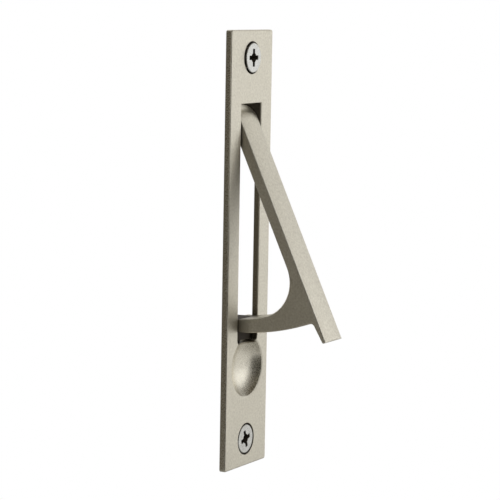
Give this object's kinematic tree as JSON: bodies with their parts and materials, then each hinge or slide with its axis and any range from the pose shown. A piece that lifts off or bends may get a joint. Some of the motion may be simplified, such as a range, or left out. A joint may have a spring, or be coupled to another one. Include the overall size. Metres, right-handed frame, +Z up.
{
  "type": "pocket door edge pull",
  "caption": "Narrow faceplate for a sliding door's edge, with a slotted window, a swing-out pull lever hinged at its top, a round finger scoop and countersunk screws.",
  "frame": {"origin": "middle of the faceplate's back face, which bears on the door's edge, midway between the screws", "axes": "+Z up along the door edge, -Y out of the door towards the hand, X across the faceplate"},
  "size_m": [0.019, 0.0417, 0.1016],
  "materials": {
    "satin_nickel": "satin nickel plate on cast brass, fine matt grain",
    "screw_steel": "nickel-plated steel, smooth satin"
  },
  "bodies": {
    "plate": {"faceplate": "satin_nickel", "hinge_pin": "screw_steel", "top_screw": "screw_steel", "bottom_screw": "screw_steel"},
    "lever": {"pull_lever": "satin_nickel"}
  },
  "joints": [
    {"name": "pull_pivot", "type": "hinge", "parent": "plate", "child": "lever", "pos_m": [0, 0.0035, 0.0287], "axis": [1, 0, 0], "range_deg": [0, 23]}
  ]
}
